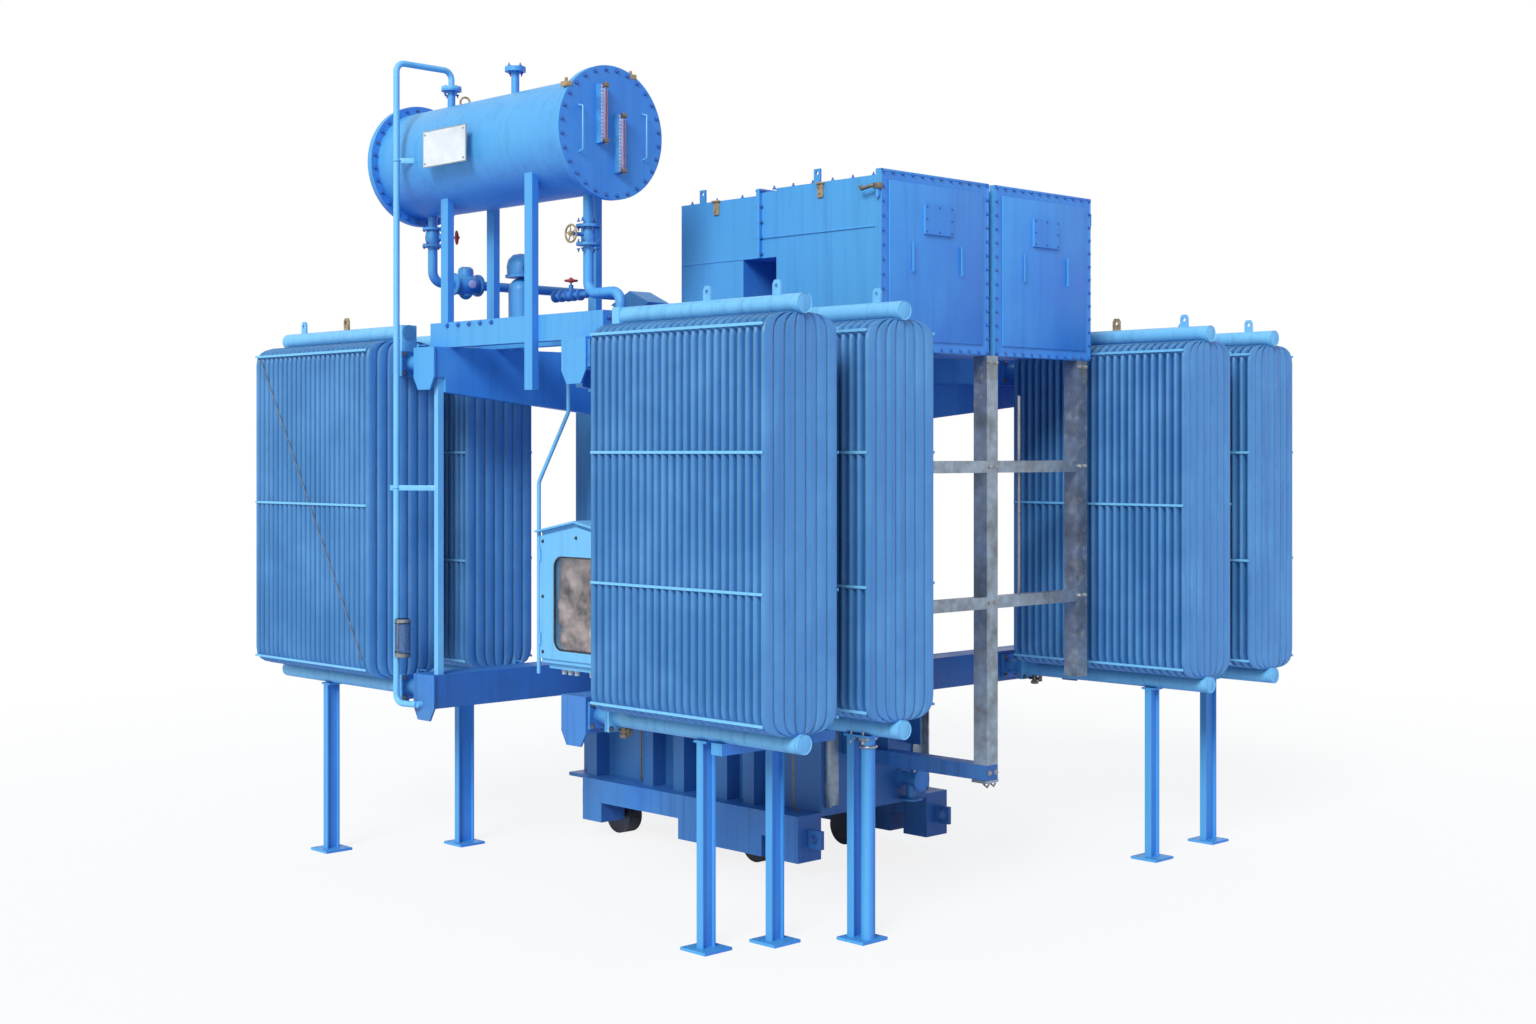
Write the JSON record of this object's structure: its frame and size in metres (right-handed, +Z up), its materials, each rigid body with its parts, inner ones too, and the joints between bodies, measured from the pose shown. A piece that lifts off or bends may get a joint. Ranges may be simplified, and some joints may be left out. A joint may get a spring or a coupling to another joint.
{
  "type": "power transformer",
  "caption": "Oil-filled power transformer with radiator banks on legs, a conservator on stands, boxed cable terminations and a control cabinet.",
  "frame": {"origin": "on the floor, midway between the four radiator banks", "axes": "+X towards the cable boxes, -Y towards the conservator side, +Z up"},
  "size_m": [4.806, 4.814, 4.9289],
  "materials": {
    "body_paint": "satin enamel, weathered",
    "radiator_paint": "satin enamel",
    "strap_paint": "satin enamel",
    "light_paint": "satin enamel",
    "valve_metal": "painted casting",
    "handwheel_red": "gloss",
    "frame_steel": "galvanised, weathered",
    "roller_steel": "dark",
    "bare_plate": "matt, bare",
    "gauge_glass": "clear",
    "jar_glass": "clear",
    "window_glass": "clear"
  },
  "bodies": {
    "root": {"breather_pipe": "light_paint", "bushing_boxes": "body_paint", "cabinet_arms": "body_paint", "cabinet_body": "light_paint", "cabinet_door": "light_paint", "cabinet_roof": "light_paint", "cabinet_window": "window_glass", "cable_box_covers": "body_paint", "cable_boxes": "body_paint", "conduit": "light_paint", "conservator_beams": "body_paint", "conservator_covers": "body_paint", "conservator_legs": "body_paint", "conservator_shell": "body_paint", "drying_jar": "jar_glass", "filling_pipe": "body_paint", "frame_arm": "frame_steel", "frame_posts": "frame_steel", "frame_rails": "frame_steel", "gas_relay": "valve_metal", "handwheel": "handwheel_red", "instrument_hood": "body_paint", "level_gauges": "gauge_glass", "lower_collectors": "body_paint", "oil_valves": "valve_metal", "panel_straps": "strap_paint", "plate": "bare_plate", "radiator_cable_end_1": "radiator_paint", "radiator_cable_end_2": "radiator_paint", "radiator_cable_end_3": "radiator_paint", "radiator_cable_end_4": "radiator_paint", "radiator_legs": "body_paint", "radiator_plain_end_1": "radiator_paint", "radiator_plain_end_2": "radiator_paint", "radiator_plain_end_3": "radiator_paint", "radiator_plain_end_4": "radiator_paint", "radiator_valves": "valve_metal", "relay_pipe": "body_paint", "relief_riser": "body_paint", "rollers": "roller_steel", "skids": "body_paint", "tank_cover": "body_paint", "tank_floor": "body_paint", "tank_wall_cable_end": "body_paint", "tank_wall_far": "body_paint", "tank_wall_near": "body_paint", "tank_wall_plain_end": "body_paint", "tie_posts": "body_paint", "top_nozzles": "body_paint", "upper_collectors": "body_paint"}
  },
  "joints": []
}
